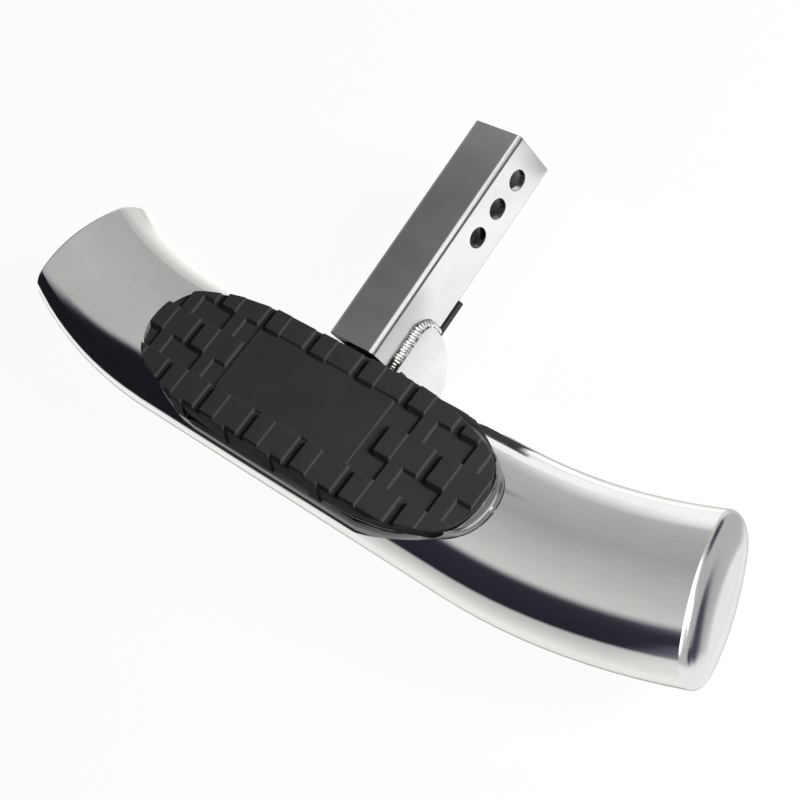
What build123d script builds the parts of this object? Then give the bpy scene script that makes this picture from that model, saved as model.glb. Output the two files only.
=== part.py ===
import os
from math import atan2, cos, degrees, radians, sin, tan

from build123d import *

os.makedirs("parts", exist_ok=True)

# Millimetres. The origin is the centre of the middle pin hole, on the shank's axis.
# X runs along the step, Y along the shank towards the vehicle, Z up.

# Shank, a square tube that slides into a 2 inch receiver
shank_width = 50.8
shank_wall = 6.35
shank_corner = 4.5
pin_hole_diameter = 17.0
pin_hole_from_end = 25.4
pin_hole_spacing = 27.5
shank_reach = 266.7  # open end to the middle line of the step tube

# Step tube, a bent oval tube, tipped so that its outer edge stands higher
tube_width = 124.0
tube_height = 67.0
tube_side_radius = 27.0
tube_wall = 2.0
tube_drop = 8.4  # middle of the step tube below the shank's axis
step_tilt = 5.0
straight_length = 360.0
bend_radius = 530.0
bend_angle = 19.6

# End caps, pressed domes welded to the tube's ends and polished
cap_depth = 10.0
cap_round = 26.0  # from the tube's edge in to the flat middle of the dome
cap_turns = (0, 25, 48, 70, 90)  # steps of the dome's rounding, in degrees
cap_rim = 9.0
cap_hollow = 5.0

# Gussets that carry the step tube on both sides of the shank
gusset_thickness = 6.0
gusset_top = -2.5  # top edge, seen from the shank's axis
gusset_radius = 56.0
gusset_centre_back = 54.4  # centre of the round edge, behind the tube's middle line
gusset_centre_drop = 10.0  # and below the shank's axis
gusset_toe = 24.0  # front end, behind the tube's middle line
gusset_corner = 11.0
gusset_weld_leg = 4.5
tube_weld_leg = 5.0

# Plate under the shank
plate_thickness = 4.5
plate_back = 141.0  # rear edge, behind the tube's middle line
plate_weld_leg = 3.5
plate_weld_length = 36.0

# Moulded tread pad: a rim that follows the tube, and a flat plateau with the tread
rim_length = 422.4  # outline at the foot of the rim, as wide as the tube
rim_end_radius = 39.7
rim_straight = 180.0
rim_foot = 9.0  # above the tube's middle
rim_draft = 20.0
rim_height = 3.4
plateau_length = 386.6
plateau_width = 108.0
plateau_end_radius = 40.8
plateau_straight = 140.0
pad_shift = 1.5  # the pad sits a little towards the vehicle
floor_height = 5.3  # heights of the tread are above the top of the tube
field_height = 6.4
middle_height = 7.8
block_height = 9.3
nose_front = 47.5  # front edge of the tread at the lower blocks' height
nose_link_rise = 1.3
nose_link_foot = 24.0  # above the tube's middle

# Tread blocks: pairs of a high and a lower block, in three rows
block_pitch = 28.1
block_width = 17.7
link_width = 14.0
tread_shift = -6.8
row_pitch = 41.7
row_depth = 22.7
first_row_front = 37.5
pair_count = 7
field_length = 160.0

# Push-in clips that hold the pad
clip_pitch = 57.5
clip_count = 6
clip_radius = 3.8
clip_barb_radius = 5.4
clip_barb_length = 7.0
clip_tip_radius = 2.6
clip_skin = 1.6

# Clearances
fit_gap = 0.3
contact_gap = 0.6

# Places that follow from the sizes above
shank_end = pin_hole_spacing + pin_hole_from_end
tube_y = shank_end - shank_reach
tube_z = -tube_drop
shank_half = shank_width / 2
bore_width = shank_width - 2 * shank_wall
shank_front = tube_y + tube_width / 2 + contact_gap
tube_top = tube_height / 2
gusset_outer = shank_half + gusset_thickness

# The step's own plane: X along the step, its Y across the tube, its Z square to the tread
step_plane = Plane(origin=(0, tube_y, tube_z), x_dir=(1, 0, 0), z_dir=(0, 0, 1)).rotated((-step_tilt, 0, 0))


def step_level(height, across=0.0):
    """Plane square to the tread's normal, at a height above the tube's middle."""
    return Plane(step_plane.from_local_coords(Vector(0, across, height)), step_plane.x_dir, step_plane.z_dir)


def across_plane(along):
    """Plane of the tube's cross-section: X across the tube, Y square to the tread."""
    return Plane(step_plane.from_local_coords(Vector(along, 0, 0)), step_plane.y_dir, step_plane.x_dir)


def oval_outline(grow):
    """Closed oval of four tangent arcs, the tube's section grown or shrunk evenly."""
    half_width = tube_width / 2 + grow
    half_height = tube_height / 2 + grow
    side = tube_side_radius + grow
    centre = half_width - side
    top = (centre**2 + half_height**2 - side**2) / (2 * (half_height - side))
    turn = atan2(top - half_height, centre)
    joint = Vector(side, 0).rotate(Axis.Z, degrees(turn)) + Vector(centre, 0)
    ThreePointArc((joint.X, joint.Y), (0, half_height), (-joint.X, joint.Y))
    ThreePointArc((-joint.X, joint.Y), (-half_width, 0), (-joint.X, -joint.Y))
    ThreePointArc((-joint.X, -joint.Y), (0, -half_height), (joint.X, -joint.Y))
    ThreePointArc((joint.X, -joint.Y), (half_width, 0), (joint.X, joint.Y))


def long_oval(length, width, end, straight):
    """Closed outline: straight sides, wide flank arcs and tighter end arcs."""
    half_width = width / 2
    start = straight / 2
    end_centre = length / 2 - end
    reach = end_centre - start
    flank = (reach**2 + half_width**2 - end**2) / (2 * (half_width - end))
    turn = degrees(atan2(flank - half_width, reach))
    Line((-start, -half_width), (start, -half_width))
    CenterArc((start, flank - half_width), flank, -90, 90 - turn)
    CenterArc((end_centre, 0), end, -turn, 2 * turn)
    CenterArc((start, half_width - flank), flank, turn, 90 - turn)
    Line((start, half_width), (-start, half_width))
    CenterArc((-start, half_width - flank), flank, 90, 90 - turn)
    CenterArc((-end_centre, 0), end, 180 - turn, 2 * turn)
    CenterArc((-start, flank - half_width), flank, 180 + turn, 90 - turn)


def swept_oval(grow):
    """The step tube's outer shape as a full solid, grown evenly."""
    with BuildPart() as body:
        with BuildSketch(across_plane(0)):
            with BuildLine():
                oval_outline(grow)
            make_face()
        sweep(path=tube_path.line)
        mirror(about=Plane.YZ)
    return body.part


def mirrored(piece):
    """The same piece on the left side."""
    with BuildPart() as other_side:
        mirror(piece, about=Plane.YZ, mode=Mode.ADD)
    return other_side.part


def write(part, name):
    part.label = name
    export_step(part, f"parts/{name}.step")


# Right half of the tube's middle line
with BuildLine(step_plane) as tube_path:
    Line((0, 0), (straight_length / 2, 0))
    JernArc((straight_length / 2, 0), (1, 0), bend_radius, bend_angle)

end_point = tube_path.line @ 1
end_direction = tube_path.line % 1
end_plane = Plane(end_point, step_plane.z_dir.cross(end_direction), end_direction)
tube_clearance = swept_oval(fit_gap)

clip_places = [((index - (clip_count - 1) / 2) * clip_pitch, 0) for index in range(clip_count)]
clip_hole_radius = clip_radius + fit_gap

# Step tube with the holes for the pad's clips
with BuildPart() as step_tube:
    with BuildSketch(across_plane(0)):
        with BuildLine():
            oval_outline(0)
        make_face()
        with BuildLine():
            oval_outline(-tube_wall)
        make_face(mode=Mode.SUBTRACT)
    sweep(path=tube_path.line)
    mirror(about=Plane.YZ)
    with BuildSketch(step_level(tube_top - 2 * tube_wall)):
        with Locations(clip_places):
            Circle(clip_hole_radius)
    extrude(amount=3 * tube_wall, mode=Mode.SUBTRACT)

# End cap: elliptical dome, hollow on the inside
with BuildPart() as right_end_cap:
    for turn in cap_turns:
        with BuildSketch(end_plane.offset(cap_depth * sin(radians(turn)))):
            with BuildLine():
                oval_outline(-cap_round * (1 - cos(radians(turn))))
            make_face()
    loft()
    with BuildSketch(end_plane):
        with BuildLine():
            oval_outline(-cap_rim)
        make_face()
    extrude(amount=cap_hollow, mode=Mode.SUBTRACT)

# Shank: square tube, open towards the vehicle, with three crosswise pin holes
with BuildPart() as shank:
    with BuildSketch(Plane.XZ.offset(-shank_end)):
        RectangleRounded(shank_width, shank_width, shank_corner)
        Rectangle(bore_width, bore_width, mode=Mode.SUBTRACT)
    extrude(amount=shank_end - shank_front)
    with BuildSketch(Plane.YZ.offset(-shank_width)):
        with Locations([(-pin_hole_spacing, 0), (0, 0), (pin_hole_spacing, 0)]):
            Circle(pin_hole_diameter / 2)
    extrude(amount=2 * shank_width, mode=Mode.SUBTRACT)

# Root weld between the shank's front end and the tube
with BuildPart() as shank_weld:
    with BuildSketch(Plane.XZ.offset(-shank_front)):
        with Locations((0, (gusset_top - shank_half) / 2)):
            Rectangle(shank_width, shank_half + gusset_top)
        with Locations((0, shank_wall / 2)):
            Rectangle(bore_width, shank_width - shank_wall, mode=Mode.SUBTRACT)
    extrude(amount=tube_width / 4)
    add(tube_clearance, mode=Mode.SUBTRACT)


def gusset_outline(grow):
    """Side view of a gusset: round at the back, level on top, cut square at the toe."""
    top = gusset_top + grow
    bottom = -gusset_centre_drop - gusset_radius - grow
    toe = tube_y + gusset_toe - grow
    back = tube_y + gusset_centre_back + gusset_radius + grow
    with Locations((tube_y + gusset_centre_back, -gusset_centre_drop)):
        Circle(gusset_radius + grow)
    with Locations(((toe + back) / 2, (top + bottom) / 2)):
        Rectangle(back - toe, top - bottom, mode=Mode.INTERSECT)


# Gusset plate, cut out around the tube
with BuildPart() as right_gusset:
    with BuildSketch(Plane.YZ.offset(shank_half)) as gusset_face:
        gusset_outline(0)
        fillet(gusset_face.vertices().sort_by(Axis.X)[-1], gusset_corner)
        fillet(gusset_face.vertices().sort_by(Axis.Y)[0], gusset_corner / 2)
    extrude(amount=gusset_thickness)
    add(tube_clearance, mode=Mode.SUBTRACT)

# Fillet weld along the gusset's top and rear edge, on the shank's side
with BuildPart() as right_shank_weld:
    with BuildSketch(Plane.YZ.offset(shank_half)) as weld_face:
        gusset_outline(gusset_weld_leg)
        fillet(weld_face.vertices().sort_by(Axis.X)[-1], gusset_corner + gusset_weld_leg)
    extrude(amount=gusset_thickness, taper=degrees(atan2(gusset_weld_leg, gusset_thickness)))
    with BuildSketch(Plane.YZ.offset(shank_half)):
        with Locations((shank_front + contact_gap, shank_corner - shank_half)):
            Rectangle(shank_reach, shank_width, align=(Align.MIN, Align.MIN))
    extrude(amount=gusset_thickness, mode=Mode.INTERSECT)
    add(right_gusset.part, mode=Mode.SUBTRACT)
    add(tube_clearance, mode=Mode.SUBTRACT)

# Fillet weld between the gusset's outer face and the tube
with BuildPart() as right_tube_weld:
    with BuildSketch(across_plane(gusset_outer)):
        with BuildLine():
            oval_outline(tube_weld_leg)
        make_face()
    extrude(amount=tube_weld_leg, taper=45)
    with BuildSketch(Plane.YZ.offset(gusset_outer)):
        gusset_outline(-tube_weld_leg)
    extrude(amount=tube_weld_leg, mode=Mode.INTERSECT)
    add(tube_clearance, mode=Mode.SUBTRACT)

# Plate under the shank, between the gussets, with a weld along its rear edge
with BuildPart() as lower_plate:
    with BuildSketch(Plane.XY.offset(-shank_half - plate_thickness)):
        with Locations((0, tube_y)):
            Rectangle(shank_width, plate_back, align=(Align.CENTER, Align.MIN))
    extrude(amount=plate_thickness)
    add(tube_clearance, mode=Mode.SUBTRACT)

plate_end = tube_y + plate_back
with BuildPart() as plate_weld:
    with BuildSketch(Plane.YZ.offset(-plate_weld_length / 2)):
        with BuildLine():
            Polyline(
                (plate_end, -shank_half),
                (plate_end + plate_weld_leg, -shank_half),
                (plate_end, -shank_half - plate_weld_leg),
                close=True,
            )
        make_face()
    extrude(amount=plate_weld_length)


tread_floor = tube_top + floor_height
draft_slope = tan(radians(rim_draft))


def nose_line(height):
    """Where the pad's sloped front stands at a height above the tube's middle."""
    return -nose_front - (tube_top + middle_height - height) * draft_slope


def block_profile(front, height):
    """Section of a tread row: upright at the back, sloped at the front."""
    top = tube_top + height
    foot = front - (top - tread_floor)
    Polygon(
        (front + row_depth, tube_top),
        (front + row_depth, top),
        (front, top),
        (foot, tread_floor),
        (foot, tube_top),
        align=None,
    )


half_field = field_length / 2
row_fronts = [first_row_front - row * row_pitch for row in range(3)]
link_depth = row_pitch - row_depth
pair_lines = [tread_shift + 2 * block_pitch * (index - (pair_count - 1) / 2) for index in range(pair_count)]
end_lines = [line for line in pair_lines if abs(line - tread_shift) > half_field]
nose_lines = pair_lines[1:-2]
pad_high = tube_top + 2 * block_height
pad_back = shank_front - tube_y - fit_gap - (tube_top + block_height) * sin(radians(step_tilt))

# Plateau of the pad with the raised blocks of the tread
with BuildPart() as tread:
    with BuildSketch(step_plane):
        Rectangle(rim_length, 2 * tube_width)
    extrude(amount=tread_floor)
    for row, front in enumerate(row_fronts):
        for line in end_lines if row == 1 else pair_lines:
            with BuildSketch(across_plane(line - block_width)):
                block_profile(front, block_height)
            extrude(amount=block_width)
            with BuildSketch(across_plane(line)):
                block_profile(front, middle_height)
            extrude(amount=block_pitch)
    for front in row_fronts[:2]:
        for line in end_lines:
            with BuildSketch(across_plane(line)):
                block_profile(front - link_depth, middle_height)
            extrude(amount=link_width)
    with BuildSketch(step_level(tube_top, row_fronts[0])):
        with Locations((tread_shift, 0)):
            Rectangle(field_length, 2 * row_pitch - row_depth, align=(Align.CENTER, Align.MAX))
    extrude(amount=field_height)
    with BuildSketch(step_level(0, pad_shift)):
        with BuildLine():
            long_oval(plateau_length, plateau_width, plateau_end_radius, plateau_straight)
        make_face()
    extrude(amount=pad_high, mode=Mode.INTERSECT)
    with BuildSketch(across_plane(-rim_length / 2)):
        Polygon(
            (nose_line(pad_high), pad_high),
            (nose_line(0), 0),
            (-tube_width, 0),
            (-tube_width, pad_high),
            align=None,
        )
    extrude(amount=rim_length, mode=Mode.SUBTRACT)
    for line in nose_lines:
        with BuildSketch(across_plane(line)):
            Polygon(
                (nose_line(tube_top) + link_width, tube_top + middle_height),
                (nose_line(tube_top + middle_height) - nose_link_rise, tube_top + middle_height),
                (nose_line(nose_link_foot) - nose_link_rise, nose_link_foot),
                (nose_line(nose_link_foot) + link_width, nose_link_foot),
                align=None,
            )
        extrude(amount=link_width)

rim_surface = swept_oval(fit_gap + rim_height)

# Tread pad: rim, plateau and sockets for the clips
with BuildPart() as step_pad:
    with BuildSketch(step_level(rim_foot, pad_shift)):
        with BuildLine():
            long_oval(rim_length, tube_width, rim_end_radius, rim_straight)
        make_face()
    extrude(amount=tube_top, taper=rim_draft)
    add(rim_surface, mode=Mode.INTERSECT)
    add(tread.part)
    with BuildSketch(step_level(0, pad_back)):
        Rectangle(rim_length, tube_width, align=(Align.CENTER, Align.MIN))
    extrude(amount=pad_high, mode=Mode.SUBTRACT)
    add(tube_clearance, mode=Mode.SUBTRACT)
    with BuildSketch(step_level(tube_top - tube_wall)):
        with Locations(clip_places):
            Circle(clip_hole_radius)
    extrude(amount=tube_wall + floor_height - clip_skin, mode=Mode.SUBTRACT)

# Push-in clips: a stem in the pad and a barb under the tube's top wall
barb_top = tube_top - tube_wall - contact_gap
stem_top = tube_top + floor_height - clip_skin - fit_gap
with BuildPart() as pad_clips:
    with BuildSketch(step_level(barb_top)):
        with Locations(clip_places):
            Circle(clip_radius)
    extrude(amount=stem_top - barb_top)
    for place in clip_places:
        with BuildSketch(step_level(barb_top)):
            with Locations(place):
                Circle(clip_barb_radius)
        with BuildSketch(step_level(barb_top - clip_barb_length)):
            with Locations(place):
                Circle(clip_tip_radius)
        loft()

write(step_tube.part, "step_tube")
write(right_end_cap.part, "right_end_cap")
write(mirrored(right_end_cap.part), "left_end_cap")
write(step_pad.part, "step_pad")
write(pad_clips.part, "pad_clips")
write(shank.part, "shank")
write(shank_weld.part, "shank_weld")
write(right_gusset.part, "right_gusset")
write(mirrored(right_gusset.part), "left_gusset")
write(right_shank_weld.part, "right_shank_weld")
write(mirrored(right_shank_weld.part), "left_shank_weld")
write(right_tube_weld.part, "right_tube_weld")
write(mirrored(right_tube_weld.part), "left_tube_weld")
write(lower_plate.part, "lower_plate")
write(plate_weld.part, "plate_weld")
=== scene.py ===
import math
import bpy
from mathutils import Matrix, Vector


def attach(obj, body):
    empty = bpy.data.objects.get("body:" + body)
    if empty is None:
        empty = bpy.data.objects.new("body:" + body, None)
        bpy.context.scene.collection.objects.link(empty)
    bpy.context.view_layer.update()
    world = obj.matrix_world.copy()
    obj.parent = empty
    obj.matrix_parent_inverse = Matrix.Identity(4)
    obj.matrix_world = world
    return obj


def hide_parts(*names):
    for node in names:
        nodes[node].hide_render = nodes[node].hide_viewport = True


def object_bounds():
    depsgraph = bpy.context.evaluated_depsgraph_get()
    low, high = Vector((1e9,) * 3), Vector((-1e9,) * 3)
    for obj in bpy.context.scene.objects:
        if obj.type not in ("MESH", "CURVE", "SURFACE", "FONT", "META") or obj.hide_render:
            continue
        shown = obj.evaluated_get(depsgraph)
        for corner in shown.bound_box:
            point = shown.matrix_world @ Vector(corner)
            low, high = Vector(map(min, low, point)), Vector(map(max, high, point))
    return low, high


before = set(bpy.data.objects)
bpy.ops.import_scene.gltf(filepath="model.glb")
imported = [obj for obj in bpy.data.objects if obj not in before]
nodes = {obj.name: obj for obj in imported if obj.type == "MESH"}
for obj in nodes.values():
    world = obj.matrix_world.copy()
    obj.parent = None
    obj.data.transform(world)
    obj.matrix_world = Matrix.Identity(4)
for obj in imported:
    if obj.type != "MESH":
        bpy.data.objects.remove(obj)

cad_low, cad_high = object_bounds()

# The step's own sizes in metres, as the solids have them.
tube_axis_y = -0.2138
tube_axis_z = -0.0084
step_tilt = math.radians(5.0)
tread_floor = 0.0388
nose_foot = 0.0252
shank_half = 0.0254
straight_half = 0.18
bend_radius = 0.53
bend_centre_y = tube_axis_y + bend_radius

# Where the photograph was taken from.
camera_place = (0.9059, -0.3208, 0.9758)
camera_turn = (30.686, 29.602, 40.068)
camera_lens = 78.107


def link(tree, out_socket, in_socket):
    tree.links.new(out_socket, in_socket)


def value_node(tree, operation, first, second=None):
    node = tree.nodes.new("ShaderNodeMath")
    node.operation = operation
    for slot, given in enumerate((first, second)):
        if given is None:
            continue
        if isinstance(given, (int, float)):
            node.inputs[slot].default_value = given
        else:
            link(tree, given, node.inputs[slot])
    return node.outputs[0]


def fade(tree, amount, start, end):
    """Nought at the start, one at the end, and smooth between."""
    node = tree.nodes.new("ShaderNodeMapRange")
    node.interpolation_type = "SMOOTHSTEP"
    node.inputs["From Min"].default_value = start
    node.inputs["From Max"].default_value = end
    link(tree, amount, node.inputs["Value"])
    return node.outputs["Result"]


def blend_values(tree, share, low, high):
    node = tree.nodes.new("ShaderNodeMix")
    node.data_type = "FLOAT"
    link(tree, share, node.inputs["Factor"])
    for socket, given in ((node.inputs[2], low), (node.inputs[3], high)):
        if isinstance(given, (int, float)):
            socket.default_value = given
        else:
            link(tree, given, socket)
    return node.outputs[0]


def blend_colours(tree, share, low, high):
    node = tree.nodes.new("ShaderNodeMix")
    node.data_type = "RGBA"
    link(tree, share, node.inputs["Factor"])
    for socket, given in ((node.inputs[6], low), (node.inputs[7], high)):
        if isinstance(given, tuple):
            socket.default_value = (*given, 1.0)
        else:
            link(tree, given, socket)
    return node.outputs[2]


def new_group(name, outs):
    """A group that takes a place and gives the named results."""
    group = bpy.data.node_groups.new(name, "ShaderNodeTree")
    group.interface.new_socket("Place", in_out="INPUT", socket_type="NodeSocketVector")
    for label, kind in outs:
        group.interface.new_socket(label, in_out="OUTPUT", socket_type=kind)
    start = group.nodes.new("NodeGroupInput")
    end = group.nodes.new("NodeGroupOutput")
    return group, start, end


def split_place(tree, place):
    node = tree.nodes.new("ShaderNodeSeparateXYZ")
    link(tree, place, node.inputs[0])
    return node.outputs


def noise(tree, vector, scale, detail, roughness=0.5):
    node = tree.nodes.new("ShaderNodeTexNoise")
    link(tree, vector, node.inputs["Vector"])
    node.inputs["Scale"].default_value = scale
    node.inputs["Detail"].default_value = detail
    node.inputs["Roughness"].default_value = roughness
    return node.outputs["Fac"]


def stretched(tree, vector, scale):
    node = tree.nodes.new("ShaderNodeMapping")
    node.inputs["Scale"].default_value = scale
    link(tree, vector, node.inputs["Vector"])
    return node.outputs["Vector"]


def make_tube_run_group():
    """Place on the bent tube: distance along it, distance across it, height."""
    group, start, end = new_group("tube_run", [("Run", "NodeSocketVector")])
    place_x, place_y, place_z = split_place(group, start.outputs["Place"])
    side = value_node(group, "ABSOLUTE", place_x)
    past_straight = value_node(group, "MAXIMUM", value_node(group, "SUBTRACT", side, straight_half), 0.0)
    to_centre = value_node(group, "SUBTRACT", bend_centre_y, place_y)
    turn = value_node(group, "ARCTAN2", past_straight, to_centre)
    along_bend = value_node(group, "MULTIPLY", turn, bend_radius)
    along = value_node(group, "ADD", value_node(group, "MINIMUM", side, straight_half), along_bend)
    signed = value_node(group, "MULTIPLY", along, value_node(group, "SIGN", place_x))
    across = value_node(
        group,
        "SQRT",
        value_node(
            group,
            "ADD",
            value_node(group, "MULTIPLY", past_straight, past_straight),
            value_node(group, "MULTIPLY", to_centre, to_centre),
        ),
    )
    joined = group.nodes.new("ShaderNodeCombineXYZ")
    link(group, signed, joined.inputs["X"])
    link(group, across, joined.inputs["Y"])
    link(group, place_z, joined.inputs["Z"])
    link(group, joined.outputs[0], end.inputs["Run"])
    return group


def make_brushing_group():
    """Fine brush lines along X of the given place, with broad cloudy change."""
    results = [(label, "NodeSocketFloat") for label in ("Lines", "Clouds", "Scratches")]
    group, start, end = new_group("brushing", results)
    place = start.outputs["Place"]
    lines = noise(group, stretched(group, place, (14.0, 1500.0, 1500.0)), 1.0, 3.0)
    clouds = noise(group, stretched(group, place, (9.0, 22.0, 22.0)), 1.0, 3.0)
    long_marks = noise(group, stretched(group, place, (5.0, 420.0, 420.0)), 1.0, 2.0)
    scratches = fade(group, long_marks, 0.66, 0.74)
    link(group, lines, end.inputs["Lines"])
    link(group, clouds, end.inputs["Clouds"])
    link(group, scratches, end.inputs["Scratches"])
    return group


tube_run = make_tube_run_group()
brushing = make_brushing_group()


def start_material(name):
    material = bpy.data.materials.new(name)
    material.use_nodes = True
    tree = material.node_tree
    shader = tree.nodes["Principled BSDF"]
    place = tree.nodes.new("ShaderNodeTexCoord").outputs["Object"]
    return material, tree, shader, place


def place_group(tree, group):
    node = tree.nodes.new("ShaderNodeGroup")
    node.node_tree = group
    return node


def bump(tree, shader, height, strength, distance):
    node = tree.nodes.new("ShaderNodeBump")
    node.inputs["Strength"].default_value = strength
    node.inputs["Distance"].default_value = distance
    link(tree, height, node.inputs["Height"])
    link(tree, node.outputs["Normal"], shader.inputs["Normal"])


def make_brushed_steel(name, light, dark, smooth, rough, follow_bend, lift):
    material, tree, shader, place = start_material(name)
    if follow_bend:
        run = place_group(tree, tube_run)
        link(tree, place, run.inputs["Place"])
        place = run.outputs["Run"]
    brushed = place_group(tree, brushing)
    link(tree, place, brushed.inputs["Place"])
    tone = value_node(
        tree,
        "ADD",
        value_node(tree, "MULTIPLY", brushed.outputs["Clouds"], 0.6),
        value_node(tree, "MULTIPLY", brushed.outputs["Lines"], 0.4),
    )
    colour = blend_colours(tree, fade(tree, tone, 0.3, 0.7), dark, light)
    link(tree, colour, shader.inputs["Base Color"])
    link(tree, blend_values(tree, brushed.outputs["Clouds"], smooth, rough), shader.inputs["Roughness"])
    shader.inputs["Metallic"].default_value = 1.0
    height = value_node(
        tree,
        "SUBTRACT",
        brushed.outputs["Lines"],
        value_node(tree, "MULTIPLY", brushed.outputs["Scratches"], 0.6),
    )
    bump(tree, shader, height, lift, 0.0001)
    return material


def make_weld_steel():
    """Bright on the crowns of the ripples, burnt dark beside them, and darkened at the front end with
    painted shade next to the pad's edge.
    """
    material, tree, shader, place = start_material("weld_steel")
    crown = tree.nodes.new("ShaderNodeAttribute")
    crown.attribute_name = "crown"
    patches = noise(tree, place, 300.0, 4.0, 0.65)
    pits = noise(tree, place, 1300.0, 3.0)
    # Painted shade: the bead is darkened towards its front end, where the shade next to the pad's edge
    # falls on it.
    unshaded_y, shaded_y = -0.139, -0.1445
    front_end_shade = fade(tree, split_place(tree, place)["Y"], unshaded_y, shaded_y)
    wear_and_painted_shade = value_node(tree, "ADD", crown.outputs["Fac"], value_node(tree, "MULTIPLY", patches, 0.9))
    wear_and_painted_shade = value_node(tree, "SUBTRACT", wear_and_painted_shade, value_node(tree, "MULTIPLY", front_end_shade, 0.8))
    bright = fade(tree, wear_and_painted_shade, 0.4, 0.64)
    colour = blend_colours(tree, bright, (0.035, 0.034, 0.033), (0.72, 0.715, 0.7))
    link(tree, colour, shader.inputs["Base Color"])
    link(tree, blend_values(tree, bright, 0.6, 0.3), shader.inputs["Roughness"])
    shader.inputs["Metallic"].default_value = 1.0
    bump(tree, shader, pits, 0.4, 0.0005)
    return material


def charcoal(tree, place):
    """The pad's moulded colour, its broad change and its fine grain."""
    grain = noise(tree, place, 1900.0, 2.0)
    clouds = noise(tree, place, 26.0, 3.0)
    tone = blend_colours(tree, clouds, (0.034, 0.034, 0.036), (0.046, 0.046, 0.048))
    return tone, clouds, grain


def make_tread_plastic():
    """Grained, and painted near black on the low wall round the tread's ends, as the shade in the groove
    by the rim.
    """
    end_from, end_to = 0.16, 0.175  # along the step
    below_from, below_to = 0.0003, 0.0008  # under the tread's floor
    material, tree, shader, place = start_material("tread_plastic")
    to_end, back, up = split_place(tree, place)
    rise = value_node(
        tree,
        "ADD",
        value_node(tree, "MULTIPLY", value_node(tree, "SUBTRACT", back, tube_axis_y), math.sin(step_tilt)),
        value_node(tree, "MULTIPLY", value_node(tree, "SUBTRACT", up, tube_axis_z), math.cos(step_tilt)),
    )
    # Painted shade: the wall below the tread's floor near the ends is darkened to near black.
    low_wall_painted_shade = value_node(
        tree,
        "MULTIPLY",
        fade(tree, rise, tread_floor - below_from, tread_floor - below_to),
        fade(tree, value_node(tree, "ABSOLUTE", to_end), end_from, end_to),
    )
    tone, clouds, grain = charcoal(tree, place)
    colour = blend_colours(tree, low_wall_painted_shade, tone, (0.005, 0.005, 0.006))
    link(tree, colour, shader.inputs["Base Color"])
    link(tree, blend_values(tree, clouds, 0.46, 0.56), shader.inputs["Roughness"])
    shader.inputs["Specular IOR Level"].default_value = 0.02
    bump(tree, shader, grain, 0.35, 0.00012)
    return material


def make_rim_plastic():
    """Smoother than the tread, glossy round the ends, and dull where it meets the tube, where painted
    contact shade also darkens it.
    """
    foot_top, foot_bottom = 0.0152, 0.0134
    gloss_from, gloss_to = 0.1, 0.19  # along the step
    material, tree, shader, place = start_material("rim_plastic")
    ways = split_place(tree, place)
    # Painted shade: near the tube the colour goes near black as contact shade, and the rim also turns
    # rougher and loses its coat there.
    dull_foot_and_shade = fade(tree, ways["Z"], foot_top, foot_bottom)
    ends = fade(tree, value_node(tree, "ABSOLUTE", ways["X"]), gloss_from, gloss_to)
    tone, _, grain = charcoal(tree, place)
    link(tree, blend_colours(tree, dull_foot_and_shade, tone, (0.016, 0.016, 0.017)), shader.inputs["Base Color"])
    link(tree, blend_values(tree, dull_foot_and_shade, 0.3, 0.6), shader.inputs["Roughness"])
    gloss = blend_values(tree, ends, 0.28, 1.0)
    link(tree, blend_values(tree, dull_foot_and_shade, gloss, 0.0), shader.inputs["Coat Weight"])
    link(tree, blend_values(tree, dull_foot_and_shade, 0.2, 0.04), shader.inputs["Specular IOR Level"])
    shader.inputs["Coat Roughness"].default_value = 0.12
    shader.inputs["Coat IOR"].default_value = 2.7
    bump(tree, shader, grain, 0.2, 0.0001)
    return material


def make_clip_plastic():
    material, tree, shader, place = start_material("clip_plastic")
    clouds = noise(tree, place, 120.0, 3.0)
    colour = blend_colours(tree, clouds, (0.02, 0.02, 0.021), (0.04, 0.04, 0.042))
    link(tree, colour, shader.inputs["Base Color"])
    link(tree, blend_values(tree, clouds, 0.45, 0.6), shader.inputs["Roughness"])
    return material


# The plate under the shank: its steel is painted near black as the shade that falls under the shank.
def make_painted_shade_plate():
    material, tree, shader, place = start_material("shaded_plate_steel")
    clouds = noise(tree, place, 60.0, 4.0)
    colour = blend_colours(tree, clouds, (0.018, 0.018, 0.018), (0.032, 0.032, 0.032))
    link(tree, colour, shader.inputs["Base Color"])
    link(tree, blend_values(tree, clouds, 0.5, 0.65), shader.inputs["Roughness"])
    shader.inputs["Specular IOR Level"].default_value = 0.1
    return material


def give(node_name, material):
    node = nodes[node_name]
    node.data.materials.clear()
    node.data.materials.append(material)


def copy_node(node_name, piece_name):
    """A copy of the node's mesh, merged into one skin with whole flat faces."""
    same_place, sliver = 0.00002, 0.0002
    bpy.ops.object.select_all(action="DESELECT")
    piece = bpy.data.objects.new(piece_name, nodes[node_name].data.copy())
    bpy.context.scene.collection.objects.link(piece)
    bpy.context.view_layer.objects.active = piece
    piece.select_set(True)
    piece.data.materials.clear()
    bpy.ops.mesh.customdata_custom_splitnormals_clear()
    bpy.ops.object.mode_set(mode="EDIT")
    bpy.ops.mesh.select_all(action="SELECT")
    bpy.ops.mesh.remove_doubles(threshold=same_place)
    bpy.ops.mesh.dissolve_degenerate(threshold=sliver)
    bpy.ops.mesh.dissolve_limited(angle_limit=math.radians(0.5))
    bpy.ops.mesh.normals_make_consistent(inside=False)
    bpy.ops.object.mode_set(mode="OBJECT")
    return piece


def round_edges(piece, edge_round, steps, limit):
    rounding = piece.modifiers.new("rounding", "BEVEL")
    rounding.width = edge_round
    rounding.segments = steps
    rounding.limit_method = limit
    rounding.angle_limit = math.radians(25.0)
    rounding.use_clamp_overlap = False
    rounding.loop_slide = False
    bpy.ops.object.modifier_apply(modifier="rounding")


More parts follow.
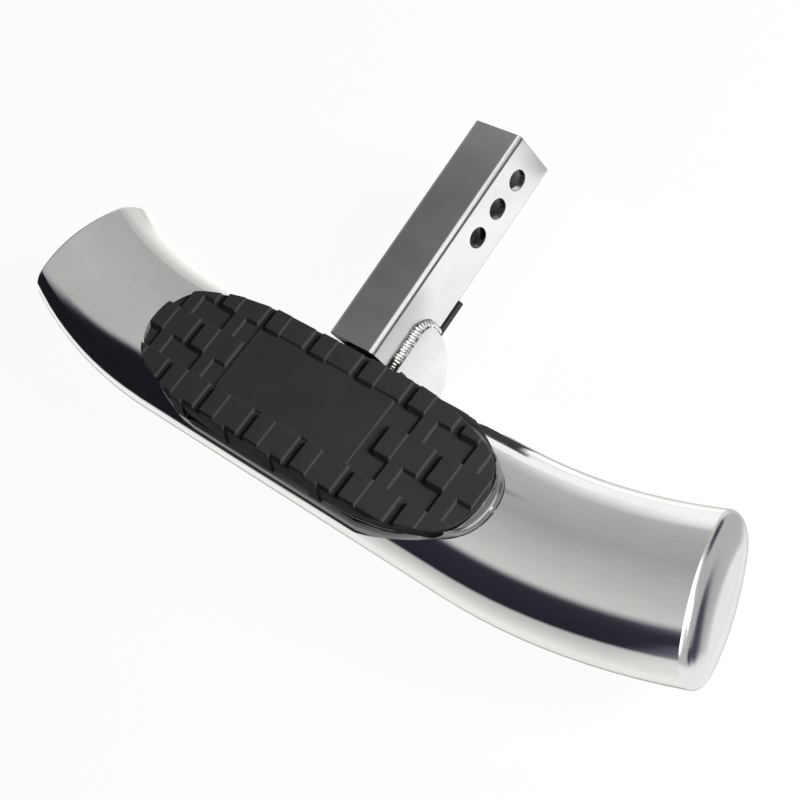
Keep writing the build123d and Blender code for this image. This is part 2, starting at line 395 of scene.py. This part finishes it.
def clear_slivers():
    """Merge points and drop the slivers and loose flaps that rounding leaves in tight corners."""
    sliver = 0.00001
    bpy.ops.object.mode_set(mode="EDIT")
    bpy.ops.mesh.select_all(action="SELECT")
    bpy.ops.mesh.remove_doubles(threshold=sliver)
    bpy.ops.mesh.dissolve_degenerate(threshold=sliver)
    bpy.ops.mesh.select_all(action="DESELECT")
    bpy.ops.mesh.select_mode(type="EDGE")
    bpy.ops.mesh.select_non_manifold(
        use_wire=False,
        use_boundary=True,
        use_multi_face=False,
        use_non_contiguous=False,
        use_verts=False,
    )
    bpy.ops.mesh.select_mode(use_expand=True, type="FACE")
    bpy.ops.mesh.delete(type="FACE")
    bpy.ops.object.mode_set(mode="OBJECT")


def stand_in(piece, node_name):
    """Smooth the piece, keep its flats flat and let it show in the node's place."""
    bpy.ops.object.shade_smooth_by_angle(angle=math.radians(60.0))
    flats = piece.modifiers.new("flats", "WEIGHTED_NORMAL")
    flats.keep_sharp = True
    bpy.ops.object.modifier_apply(modifier="flats")
    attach(piece, "root")
    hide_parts(node_name)


def make_steel_piece(node_name, piece_name, edge_round, material):
    piece = copy_node(node_name, piece_name)
    piece.data.materials.append(material)
    round_edges(piece, edge_round, 2, "ANGLE")
    stand_in(piece, node_name)


def make_ripple():
    """One solidified drop of weld; its crown is noted for the material."""
    bpy.ops.object.select_all(action="DESELECT")
    bpy.ops.mesh.primitive_uv_sphere_add(segments=14, ring_count=8, radius=1.0)
    drop = bpy.context.object
    bpy.ops.object.shade_smooth()
    crown = drop.data.attributes.new("crown", "FLOAT", "POINT")
    for vertex in drop.data.vertices:
        crown.data[vertex.index].value = max(0.0, vertex.co.z)
    return drop


def make_bead(node_name, piece_name, run, size, material):
    """A weld's fillet with ripples along it; the run gives each one's place, way and outward side."""
    length, width, height = size
    bead = copy_node(node_name, piece_name)
    bpy.ops.object.shade_smooth_by_angle(angle=math.radians(50.0))
    drop = make_ripple()
    drops = []
    for place, way, out in run:
        ripple = bpy.data.objects.new("ripple", drop.data.copy())
        bpy.context.scene.collection.objects.link(ripple)
        across = out.cross(way)
        turn = Matrix((way * length, across * width, out * height)).transposed().to_4x4()
        ripple.data.transform(Matrix.Translation(place) @ turn)
        drops.append(ripple)
    bpy.data.objects.remove(drop)
    bpy.ops.object.select_all(action="DESELECT")
    for piece in drops + [bead]:
        piece.select_set(True)
    bpy.context.view_layer.objects.active = bead
    bpy.ops.object.join()
    bead.data.materials.clear()
    bead.data.materials.append(material)
    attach(bead, "root")
    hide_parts(node_name)


def cheek_run(side):
    """Along the top of a cheek plate, round its corner and a little way down."""
    run = []
    front_y = -0.1506
    corner_z = -0.014  # middle of the corner's round
    level, corner, down = 0.0355, 0.0115, 0.006
    quarter_turn = math.pi / 2
    length = level + corner * quarter_turn + down
    count = 25
    slope_side, slope_rise = 0.6, 0.8  # the way the fillet faces
    for step in range(count):
        gone = length * step / (count - 1)
        angle = min(max(0.0, gone - level) / corner, quarter_turn)
        below = max(0.0, gone - level - corner * quarter_turn)
        rise = Vector((0.0, math.sin(angle), math.cos(angle)))
        way = Vector((0.0, math.cos(angle), -math.sin(angle)))
        edge = Vector((side * shank_half, front_y + min(gone, level), corner_z - below)) + rise * corner
        out = Vector((side * slope_side, 0.0, 0.0)) + rise * slope_rise
        over = Vector((side * slope_rise, 0.0, 0.0)) - rise * slope_side
        sway = 0.001 + 0.0004 * math.sin(2.4 * step)
        lift = 0.0031 + 0.0002 * math.sin(5.1 * step)
        run.append((edge + out * lift + over * sway, way, out))
    return run


def plate_run():
    """Along the rear edge of the plate under the shank."""
    out = Vector((0.0, 1.0, -1.0)).normalized()
    way = Vector((1.0, 0.0, 0.0))
    corner = Vector((0.0, -0.0728, -shank_half))
    spacing, lift, each_side = 0.0021, 0.0022, 8
    steps = range(-each_side, each_side + 1)
    return [(corner + way * (spacing * step) + out * lift, way, out) for step in steps]


def above_tube(place):
    """Height above the tube's middle, square to the tread."""
    return (place.y - tube_axis_y) * math.sin(step_tilt) + (place.z - tube_axis_z) * math.cos(step_tilt)


def upward(face):
    """One for a face level with the tread, nought for an upright one."""
    return face.normal.y * math.sin(step_tilt) + face.normal.z * math.cos(step_tilt)


def make_tread_pad(tread_plastic, rim_plastic):
    """The pad with a rounded, glossier rim round the tread."""
    crest_round, edge_round = 0.0028, 0.0007
    rim_top = tread_floor - 0.0004
    pad = copy_node("step_pad", "tread_pad")
    pad.data.materials.append(tread_plastic)
    pad.data.materials.append(rim_plastic)
    for face in pad.data.polygons:
        height = above_tube(face.center)
        nose = face.normal.y < -0.85 and abs(face.normal.x) < 0.015 and height > nose_foot
        on_rim = height < rim_top and upward(face) > 0.1 and not nose
        face.material_index = 1 if on_rim else 0
        face.select = on_rim and upward(face) > 0.55
    bpy.ops.object.mode_set(mode="EDIT")
    bpy.ops.mesh.select_mode(type="FACE")
    bpy.ops.mesh.dissolve_limited(angle_limit=math.radians(6.0), delimit={"MATERIAL"})
    bpy.ops.object.mode_set(mode="OBJECT")
    # A crest runs where a steep face of the rim meets a level one.
    beside = {}
    for face in pad.data.polygons:
        for edge in face.edge_keys:
            beside.setdefault(edge, []).append(face)
    crest = pad.data.attributes.new("bevel_weight_edge", "FLOAT", "EDGE")
    for edge in pad.data.edges:
        both = beside.get(edge.key, [])
        if len(both) == 2 and all(face.material_index == 1 for face in both):
            low, high = sorted(upward(face) for face in both)
            if low < 0.5 < high and high - low > 0.15:
                crest.data[edge.index].value = 1.0
    round_edges(pad, crest_round, 5, "WEIGHT")
    round_edges(pad, edge_round, 2, "ANGLE")
    clear_slivers()
    stand_in(pad, "step_pad")


def dress_solids():
    """Materials for the solids that stay, and rounded pieces in the place of the others."""
    stainless = make_brushed_steel(
        "stainless",
        light=(0.68, 0.68, 0.68),
        dark=(0.6, 0.6, 0.6),
        smooth=0.06,
        rough=0.09,
        follow_bend=True,
        lift=0.008,
    )
    polished = make_brushed_steel(
        "polished_cap",
        light=(0.72, 0.72, 0.74),
        dark=(0.66, 0.66, 0.68),
        smooth=0.16,
        rough=0.2,
        follow_bend=True,
        lift=0.02,
    )
    shank_steel = make_brushed_steel(
        "shank_steel",
        light=(0.46, 0.46, 0.465),
        dark=(0.38, 0.38, 0.385),
        smooth=0.22,
        rough=0.3,
        follow_bend=False,
        lift=0.1,
    )
    weld = make_weld_steel()
    shaded_plate_steel = make_painted_shade_plate()
    give("step_tube", stainless)
    give("left_end_cap", polished)
    give("right_end_cap", polished)
    give("pad_clips", make_clip_plastic())
    for name in ("shank_weld", "left_tube_weld", "right_tube_weld"):
        give(name, weld)
    cheek_ripple = (0.0021, 0.0038, 0.0014)
    plate_ripple = (0.0018, 0.0021, 0.0011)
    make_bead("right_shank_weld", "right_cheek_bead", cheek_run(1.0), cheek_ripple, weld)
    make_bead("left_shank_weld", "left_cheek_bead", cheek_run(-1.0), cheek_ripple, weld)
    make_bead("plate_weld", "under_bead", plate_run(), plate_ripple, weld)
    make_tread_pad(make_tread_plastic(), make_rim_plastic())
    make_steel_piece("shank", "square_shank", 0.0005, shank_steel)
    make_steel_piece("left_gusset", "left_cheek", 0.0006, shank_steel)
    make_steel_piece("right_gusset", "right_cheek", 0.0006, shank_steel)
    make_steel_piece("lower_plate", "under_plate", 0.0004, shaded_plate_steel)


# Light that the metal sees round the step's long axis, at its right and at its left:
# degrees from straight up, towards the rear, and strength.
light_round_right = (
    (-180, 0.45), (-160, 0.55),  # below
    (-150, 1.1), (-120, 1.25), (-63, 0.72),  # floor in front
    (-56, 0.03), (-17, 0.035),  # dark strip up front
    (-13, 0.84), (25, 0.52), (46, 0.6),  # ceiling
    (75, 0.95), (105, 1.0), (118, 0.78),  # rear wall
    (140, 0.72), (179, 0.72),  # floor behind
)
light_round_left = (
    (-180, 0.5), (-160, 0.6),  # below
    (-150, 1.2), (-122, 1.2),  # floor in front
    (-115, 0.015), (-19, 0.015),  # dark strip up front
    (-15, 0.66), (12, 0.68), (48, 0.61),  # ceiling
    (90, 1.2), (115, 1.45), (150, 1.2),  # rear wall
    (179, 0.9),  # floor behind
)

# Dark corners of the room that the end caps see: the way to each, and the cosines
# of the angles from it at which the dark core and its soft edge end.
dark_corners = (
    ((0.22, 0.902, 0.371), 0.985, 0.95),
    ((0.8, 0.4, -0.447), 0.985, 0.955),
    ((0.977, 0.152, -0.152), 0.985, 0.955),
    ((-0.97, 0.14, -0.2), 0.97, 0.92),
)


def light_ramp(tree, angle, stops):
    """Strength of light by angle; the ramp holds half of each strength, to stay below one."""
    ramp = tree.nodes.new("ShaderNodeValToRGB")
    link(tree, angle, ramp.inputs["Fac"])
    marks = ramp.color_ramp.elements
    while len(marks) < len(stops):
        marks.new(0.5)
    for mark, (degrees, strength) in zip(marks, stops):
        mark.position = (degrees + 180) / 360
        mark.color = (strength / 2, strength / 2, strength / 2, 1.0)
    return value_node(tree, "MULTIPLY", ramp.outputs["Color"], 2.0)


def set_up_studio():
    """White for the camera; metal sees a grey ceiling, a dark strip up front, bright walls and floor."""
    world = bpy.data.worlds.new("studio")
    bpy.context.scene.world = world
    world.use_nodes = True
    world.cycles.sampling_method = "NONE"
    tree = world.node_tree
    sky = tree.nodes["Background"]
    facing = tree.nodes.new("ShaderNodeTexCoord").outputs["Generated"]
    to_right, to_rear, up = split_place(tree, facing)
    turn = value_node(tree, "ARCTAN2", to_rear, up)
    angle = value_node(tree, "ADD", value_node(tree, "DIVIDE", turn, 2 * math.pi), 0.5)
    # The strip leans at the far left, and the seam to the right side turns a little with it.
    lean_start, lean_most, lean_share, seam_turn = 0.827, 0.055, 0.25, 0.04
    far_left = value_node(tree, "MINIMUM", value_node(tree, "ADD", to_right, lean_start), lean_most)
    lean = value_node(tree, "MULTIPLY", far_left, lean_share)
    turned = value_node(tree, "SUBTRACT", to_right, value_node(tree, "MULTIPLY", to_rear, seam_turn))
    around = blend_values(
        tree,
        fade(tree, turned, -0.61, -0.67),
        light_ramp(tree, angle, light_round_right),
        light_ramp(tree, value_node(tree, "SUBTRACT", angle, lean), light_round_left),
    )
    low_front = fade(tree, value_node(tree, "ADD", up, to_rear), -0.25, -0.5)
    side = blend_values(tree, low_front, 0.6, 1.1)
    overhead = value_node(tree, "MULTIPLY", fade(tree, up, 0.7, 0.85), fade(tree, to_right, 0.55, 0.4))
    side = blend_values(tree, overhead, side, 2.2)
    metal = blend_values(tree, fade(tree, to_right, -0.25, 0.0), around, side)
    for corner, inner, outer in dark_corners:
        aim = tree.nodes.new("ShaderNodeVectorMath")
        aim.operation = "DOT_PRODUCT"
        aim.inputs[1].default_value = corner
        link(tree, facing, aim.inputs[0])
        metal = blend_values(tree, fade(tree, aim.outputs["Value"], outer, inner), metal, 0.06)
    plain = value_node(
        tree,
        "ADD",
        value_node(tree, "ADD", 0.06, value_node(tree, "MULTIPLY", to_right, 0.03)),
        value_node(
            tree,
            "ADD",
            value_node(tree, "MULTIPLY", to_rear, 0.04),
            value_node(tree, "MULTIPLY", up, 0.02),
        ),
    )
    seen = tree.nodes.new("ShaderNodeLightPath")
    glow = blend_values(tree, seen.outputs["Is Glossy Ray"], plain, metal)
    glow = blend_values(tree, seen.outputs["Is Camera Ray"], glow, 1.0)
    link(tree, glow, sky.inputs["Strength"])
    white = (1.0, 1.0, 1.0)
    tint = blend_colours(tree, fade(tree, metal, 0.05, 0.4), (0.9, 0.9, 1.3), (1.0, 1.0, 0.97))
    link(tree, blend_colours(tree, seen.outputs["Is Glossy Ray"], white, tint), sky.inputs["Color"])


def make_floor():
    """Nearly white for the camera, with the step's soft shadow; the metal doesn't see it."""
    bpy.ops.object.select_all(action="DESELECT")
    bpy.ops.mesh.primitive_plane_add(size=8.0, location=(0.0, 0.0, cad_low.z - 0.001))
    floor = bpy.context.object
    floor.name = "floor"
    material = bpy.data.materials.new("floor_white")
    material.use_nodes = True
    tree = material.node_tree
    out = tree.nodes["Material Output"]
    matte = tree.nodes["Principled BSDF"]
    matte.inputs["Base Color"].default_value = (0.9, 0.9, 0.9, 1.0)
    matte.inputs["Roughness"].default_value = 0.9
    white = tree.nodes.new("ShaderNodeEmission")
    white.inputs["Strength"].default_value = 1.0
    seen = tree.nodes.new("ShaderNodeLightPath")
    share = value_node(tree, "MULTIPLY", seen.outputs["Is Camera Ray"], 0.95)
    mix = tree.nodes.new("ShaderNodeMixShader")
    link(tree, share, mix.inputs[0])
    link(tree, matte.outputs[0], mix.inputs[1])
    link(tree, white.outputs[0], mix.inputs[2])
    link(tree, mix.outputs[0], out.inputs["Surface"])
    floor.data.materials.append(material)
    floor.visible_glossy = False
    floor.visible_diffuse = False


def add_card(name, middle, width, depth, strength, soft, aim=None):
    """A card with soft edges that only shows in reflections, level or turned to face a place."""
    bpy.ops.object.select_all(action="DESELECT")
    bpy.ops.mesh.primitive_plane_add(size=1.0, location=middle)
    card = bpy.context.object
    card.name = name
    card.scale = (width, depth, 1.0)
    if aim:
        card.rotation_euler = (Vector(aim) - Vector(middle)).to_track_quat("Z", "Y").to_euler()
    material = bpy.data.materials.new(name)
    material.use_nodes = True
    tree = material.node_tree
    glow = tree.nodes.new("ShaderNodeEmission")
    glow.inputs["Strength"].default_value = strength
    clear = tree.nodes.new("ShaderNodeBsdfTransparent")
    ways = split_place(tree, tree.nodes.new("ShaderNodeTexCoord").outputs["Object"])
    inward = [fade(tree, value_node(tree, "ABSOLUTE", ways[way]), 0.5, 0.5 - soft) for way in ("X", "Y")]
    mix = tree.nodes.new("ShaderNodeMixShader")
    link(tree, value_node(tree, "MULTIPLY", *inward), mix.inputs[0])
    link(tree, clear.outputs[0], mix.inputs[1])
    link(tree, glow.outputs[0], mix.inputs[2])
    link(tree, mix.outputs[0], tree.nodes["Material Output"].inputs["Surface"])
    card.data.materials.append(material)
    card.visible_camera = False
    card.visible_diffuse = False
    card.visible_shadow = False


def set_up_cards():
    add_card("bounce_board", (0.062, -0.05, cad_low.z), 0.066, 0.24, 2.15, 0.05)
    add_card("outer_bounce_board", (0.117, 0.01, cad_low.z), 0.052, 0.17, 2.3, 0.08)
    add_card("dark_flag", (-0.74, 0.025, 0.8), 0.48, 0.75, 0.17, 0.05)
    add_card("rear_board", (-0.32, 0.45, 0.16), 0.6, 0.64, 1.4, 0.22, (-0.32, 0.0, 0.16))
    add_card("camera_softbox", (1.1, 0.2, 1.0), 0.34, 0.9, 4.0, 0.2, (0.15, 0.2, 0.0))
    add_card("rear_flag", (0.128, -0.127, -0.012), 0.07, 0.056, 0.06, 0.2, (0.128, 0.0, -0.012))


def add_softbox(name, place, size, power):
    bpy.ops.object.light_add(type="AREA", location=place)
    lamp = bpy.context.object
    lamp.name = name
    lamp.data.shape = "SQUARE"
    lamp.data.size = size
    lamp.data.energy = power
    aim = Vector((0.0, -0.15, 0.0)) - Vector(place)
    lamp.rotation_euler = aim.to_track_quat("-Z", "Y").to_euler()
    return lamp


def set_up_lamps():
    key = add_softbox("key_softbox", (1.8, 0.5, 0.78), 0.6, 80.0)
    key.visible_glossy = False


def set_up_camera():
    bpy.ops.object.camera_add(location=camera_place)
    camera = bpy.context.object
    camera.name = "camera"
    camera.rotation_euler = [math.radians(angle) for angle in camera_turn]
    camera.data.sensor_width = 36.0
    camera.data.lens = camera_lens
    bpy.context.scene.camera = camera


bpy.context.scene.view_settings.view_transform = "Standard"
set_up_camera()
set_up_studio()
set_up_lamps()
make_floor()
set_up_cards()
dress_solids()
